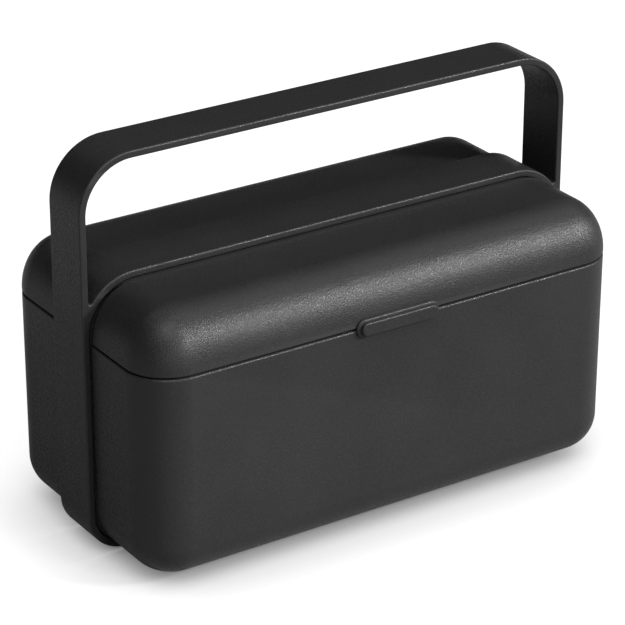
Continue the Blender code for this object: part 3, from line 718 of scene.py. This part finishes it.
def make_tub():
    """Open tub with hinge posts, hooks for the core, divider guides, groove and foot seats."""
    low, high = TUB_LOW.z, TUB_RIM
    tub = open_shell("tub", low, high, False, TUB_BOTTOM_ROUND, 1.0, TUB_WALL)
    round_edges(tub, lambda edge: on_inner_wall(edge, high), TUB_INNER_ROUND, 4)
    round_edges(tub, lambda edge: at_rim(edge, high), TUB_RIM_ROUND, 6)
    lugs = []
    for side in (-1, 1):
        width = about(side * HINGE_X, POST_HALF)
        lugs.append(slab("post", [post_outline()], "X", width, LUG_EDGE, 1))
        width = about(side * HOOK_X, HOOK_HALF)
        lugs.append(slab("lug", [millimetres(HOOK_SECTION)], "X", width))
        width = about(DIVIDER_X + side * GUIDE_X, GUIDE_HALF)
        lugs.append(block("guide", width, (LID_LOW.y + WALL_BITE, GUIDE_FRONT), GUIDE_Z))
        lugs.append(block("guide", width, GUIDE_BACK, GUIDE_Z))
    tub = combine(tub, lugs, "UNION")
    return combine(tub, [hinge_bore(), block("catch", *CATCH)] + foot_seats(low), "DIFFERENCE")


# ---------------------------------------------------------------- latch

def stadium(half_length, radius, z, y, steps=20):
    """Upright loop with two straight sides and two round ends."""
    straight = half_length - radius
    outline = arc(straight, z, radius, -90, 90, steps) + arc(-straight, z, radius, 90, 270, steps)
    return [(x, y, height) for x, height in outline]


def latch_profile():
    """Pairs (distance out from the back, how far the outline lies towards the flange's)."""
    profile = list(FLANGE_BACK)
    for u, v in arc(0, 0, 1, 0, 90, 8):
        profile.append((FLANGE_DEPTH - FLANGE_EDGE * (1 - v), 1 - FLANGE_ROUND * (1 - u)))
    return profile + [(FLANGE_DEPTH + along, share) for along, share in BAR_FOOT]


def lever_outline():
    """Lever from the back of the bar to a barrel round the latch pin."""
    back_turn = math.degrees(math.acos(LEVER_BACK / LEVER_BARREL))
    front_turn = math.degrees(math.acos(LEVER_FRONT / LEVER_BARREL))
    points = [(LEVER_TIP, LEVER_LOW), (PULL.y + LEVER_BACK, LEVER_LOW)]
    points += arc(PULL.y, PULL.z, LEVER_BARREL, -back_turn, 180 + front_turn, 28)
    return points + [(PULL.y - LEVER_FRONT, LEVER_HIGH), (LEVER_TIP, LEVER_HIGH)]


def make_latch():
    """Stadium-shaped pull bar on a thin flange, with the lever that carries it."""
    seam = LID_LOW.z - SEAM_GAP / 2
    loops = []
    for along, share in latch_profile():
        half = LATCH_HALF + share * (LATCH_HIGH.x - LATCH_HALF)
        radius = LATCH_RADIUS + share * (FLANGE_RADIUS - LATCH_RADIUS)
        loops.append(stadium(half, radius, seam, LATCH_BACK - along))
    for u, v in arc(0, 0, LATCH_EDGE, 0, 90, 8):
        inset = LATCH_EDGE - u
        y = LATCH_LOW.y + LATCH_EDGE - v
        loops.append(stadium(LATCH_HALF - inset, LATCH_RADIUS - inset, seam, y))
    bar = loft("latch", loops)
    lever = slab("lever", [lever_outline()], "X", about(0.0, LEVER_HALF), LEVER_EDGE, 1)
    bar = combine(bar, [lever, block("bead", *BEAD)], "UNION")
    return combine(bar, [latch_bore(), block("spring_gap", *SPRING_GAP)], "DIFFERENCE")


def spring_path(per_turn=28):
    """Foot on the lever, the coil along the latch pin, and a leg up the inside of the lid."""
    count = int(SPRING_TURNS * per_turn)
    points = [(-SPRING_WIDTH / 2, PULL.y - SPRING_RADIUS, SPRING_FOOT)]
    for i in range(count + 1):
        angle = math.pi - 2 * math.pi * i / per_turn
        points.append((
            -SPRING_WIDTH / 2 + SPRING_WIDTH * i / count,
            PULL.y + SPRING_RADIUS * math.cos(angle),
            PULL.z + SPRING_RADIUS * math.sin(angle),
        ))
    x, y, _ = points[-1]
    points.append((x, y - SPRING_LEAN, SPRING_TIP))
    return points


def make_spring(name, node_name, side):
    """Torsion spring of round wire; the rear one has side -1."""
    curve = bpy.data.curves.new(name, "CURVE")
    curve.dimensions = "3D"
    curve.bevel_depth = SPRING_WIRE
    curve.bevel_resolution = 4
    curve.use_fill_caps = True
    points = spring_path()
    spline = curve.splines.new("POLY")
    spline.points.add(len(points) - 1)
    for point, place in zip(spline.points, points):
        point.co = (side * place[0], side * place[1], place[2], 1.0)
    item = bpy.data.objects.new(name, curve)
    bpy.context.scene.collection.objects.link(item)
    item = dress(baked(item), name, [PIN_STEEL])
    return settle(item, node_name, node_name.split("_latch")[0] + "_lid")


# ---------------------------------------------------------------- small pieces

def make_pin(node_name, body):
    """Ground pin with chamfered ends."""
    low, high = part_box(node_name)
    centre = (low + high) / 2
    radius, half = (high.z - low.z) / 2, (high.x - low.x) / 2
    profile = [
        (radius - PIN_CHAMFER, -half), (radius, -half + PIN_CHAMFER),
        (radius, half - PIN_CHAMFER), (radius - PIN_CHAMFER, half),
    ]
    name = node_name + "_ground"
    item = dress(turned(name, profile, centre, "X", 32), name, [PIN_STEEL])
    return settle(item, node_name, body)


def make_screw(node_name):
    """Countersunk screw, head down, with a six-sided recess; rings stand for its thread."""
    low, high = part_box(node_name)
    centre = ((low.x + high.x) / 2, (low.y + high.y) / 2, 0.0)
    profile = list(SCREW_HEAD)
    height = THREAD_START
    while height < THREAD_END:
        profile += [(radius, height + rise) for radius, rise in THREAD_TURN]
        height += THREAD_PITCH
    profile += SCREW_END
    screw = turned("screw", millimetres(profile), centre, "Z", 40)
    recess = turned("drive", millimetres(SCREW_DRIVE), centre, "Z", 6)
    screw = combine(screw, [recess], "DIFFERENCE")
    name = node_name + "_threaded"
    return settle(dress(screw, name, [SCREW_STEEL]), node_name, "base")


def make_foot(node_name):
    """Round rubber foot with a soft edge and a shallow dish underneath."""
    low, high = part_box(node_name)
    centre = ((low.x + high.x) / 2, (low.y + high.y) / 2, low.z)
    radius = (high.x - low.x) / 2
    profile = [(radius * share, height) for share, height in FOOT_DISH]
    profile += arc(radius - FOOT_EDGE, FOOT_EDGE, FOOT_EDGE, -90, 0, 6)
    profile.append((radius, high.z - low.z))
    name = node_name + "_pad"
    return settle(dress(turned(name, profile, centre), name, [PAD]), node_name, "base")


def make_divider():
    """Partition with a corner that follows the tub and a notch for a finger."""
    low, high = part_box("front_divider")
    front, back, floor, top = low.y, high.y, low.z, high.z
    corner, heel, shoulder = DIVIDER_CORNER, DIVIDER_HEEL, DIVIDER_SHOULDER
    outline = arc(front + corner, floor + corner, corner, 180, 270, 24)
    outline += arc(back - heel, floor + heel, heel, 270, 360, 6)
    outline += arc(back - shoulder, top - shoulder, shoulder, 0, 90, 8)
    outline += arc((front + back) / 2, top, FINGER_NOTCH, 0, -180, 32)
    outline += arc(front + shoulder, top - shoulder, shoulder, 90, 180, 8)
    return slab("divider", [outline], "X", (low.x, high.x), DIVIDER_EDGE, 3)


def make_spine():
    """The moulded core keeps its CAD shape and gets softened edges."""
    core = frame["nodes"]["spine"]
    core.data.materials.clear()
    core.data.materials.append(SPINE)
    soft = core.modifiers.new("soft_edges", "BEVEL")
    soft.width = CORE_EDGE
    soft.segments = 2
    soft.limit_method = "ANGLE"
    soft.angle_limit = math.radians(50)


# ---------------------------------------------------------------- assembly

def assemble():
    """Every piece; the rear ones of each pair are the front ones turned half round."""
    make_band()
    make_spine()
    pairs = [
        (make_tub(), "tub", "tub_moulding", [SHELL, INSIDE], "base", "base", "shell"),
        (make_lid(), "lid", "lid_moulding", [SHELL, INSIDE], "front_lid", "rear_lid", "shell"),
        (make_latch(), "latch", "latch_pull", [SHELL], "front_latch", "rear_latch", "shell"),
        (make_divider(), "divider", "divider_wall", [GREY], "base", "base", "divider"),
    ]
    for item, node_name, name, materials, front_body, rear_body, slot in pairs:
        dress(item, "front_" + name, materials)
        rear = turned_round(item, "rear_" + name)
        settle(item, "front_" + node_name, front_body)
        settle(rear, "rear_" + node_name, rear_body)
    for number in range(1, 5):
        make_pin(f"hinge_pin_{number}", "base")
        make_screw(f"band_screw_{number}")
        make_foot(f"foot_{number}")
    for end, side in (("front", 1), ("rear", -1)):
        make_pin(f"{end}_latch_pin", f"{end}_lid")
        make_spring(f"{end}_pull_spring", f"{end}_latch_spring", side)


# ---------------------------------------------------------------- camera, floor and light

def make_camera():
    """The viewing angle: a long lens, from the left of the front and 25 degrees up."""
    azimuth, elevation, roll = (math.radians(angle) for angle in CAMERA_ANGLES)
    back = Vector((math.sin(azimuth) * math.cos(elevation),
                   -math.cos(azimuth) * math.cos(elevation), math.sin(elevation)))
    right = Vector((math.cos(azimuth), math.sin(azimuth), 0.0))
    up = back.cross(right)
    turned_right = right * math.cos(roll) + up * math.sin(roll)
    turned_up = up * math.cos(roll) - right * math.sin(roll)
    target = right * TARGET_RIGHT + Vector((0.0, 0.0, TARGET_HEIGHT))
    data = bpy.data.cameras.new("camera")
    data.lens = CAMERA_LENS
    data.sensor_width = CAMERA_SENSOR
    data.clip_start = 0.05
    data.clip_end = 60.0
    camera = bpy.data.objects.new("camera", data)
    place = target + back * CAMERA_DISTANCE
    camera.matrix_world = Matrix.Translation(place) @ Matrix(
        (turned_right, turned_up, back)).transposed().to_4x4()
    bpy.context.scene.collection.objects.link(camera)
    bpy.context.scene.camera = camera


def make_floor():
    """Pale studio sweep: bright in the picture, with soft contact shadows, and a dim bounce."""
    bm = bmesh.new()
    bmesh.ops.create_grid(bm, x_segments=2, y_segments=2, size=FLOOR_HALF)
    floor = object_from(bm, "floor")
    material, tree, shader, _ = start_material("pale_floor")
    tree.nodes.remove(shader)
    bounce = node(tree, "ShaderNodeBsdfDiffuse", {"Color": (*FLOOR_BOUNCE, 1.0)})
    seen = node(tree, "ShaderNodeBsdfDiffuse", {"Color": (*FLOOR_SHADED, 1.0)})
    open_sky = node(tree, "ShaderNodeAmbientOcclusion", {"Distance": SHADOW_REACH}, samples=16)
    glow = node(tree, "ShaderNodeEmission", {"Color": WHITE})
    strength = remap(tree, open_sky.outputs["AO"], *FLOOR_GLOW, *OPENNESS)
    tree.links.new(strength, glow.inputs["Strength"])
    total = node(tree, "ShaderNodeAddShader")
    tree.links.new(seen.outputs[0], total.inputs[0])
    tree.links.new(glow.outputs[0], total.inputs[1])
    mix = node(tree, "ShaderNodeMixShader")
    path = node(tree, "ShaderNodeLightPath")
    tree.links.new(path.outputs["Is Camera Ray"], mix.inputs[0])
    tree.links.new(bounce.outputs[0], mix.inputs[1])
    tree.links.new(total.outputs[0], mix.inputs[2])
    tree.links.new(mix.outputs[0], tree.nodes["Material Output"].inputs["Surface"])
    floor.data.materials.append(material)


def add_sun(name, azimuth, elevation, strength, spread):
    a, e = math.radians(azimuth), math.radians(elevation)
    toward = Vector((math.sin(a) * math.cos(e), -math.cos(a) * math.cos(e), math.sin(e)))
    data = bpy.data.lights.new(name, "SUN")
    data.energy = strength
    data.angle = math.radians(spread)
    lamp = bpy.data.objects.new(name, data)
    lamp.rotation_mode = "QUATERNION"
    lamp.rotation_quaternion = toward.to_track_quat("Z", "Y")
    bpy.context.scene.collection.objects.link(lamp)


def make_light():
    """Soft suns all round and above, and a white surround that only the camera sees."""
    for light in LIGHTS:
        add_sun(*light)
    world = bpy.data.worlds.new("studio")
    world.use_nodes = True
    tree = world.node_tree
    dark = tree.nodes["Background"]
    dark.inputs["Strength"].default_value = 0.0
    pale = node(tree, "ShaderNodeBackground", {"Color": WHITE, "Strength": 1.0})
    mix = node(tree, "ShaderNodeMixShader")
    path = node(tree, "ShaderNodeLightPath")
    tree.links.new(path.outputs["Is Camera Ray"], mix.inputs[0])
    tree.links.new(dark.outputs[0], mix.inputs[1])
    tree.links.new(pale.outputs[0], mix.inputs[2])
    tree.links.new(mix.outputs[0], tree.nodes["World Output"].inputs["Surface"])
    bpy.context.scene.world = world
    bpy.context.scene.view_settings.view_transform = "Standard"


assemble()
make_camera()
make_floor()
make_light()
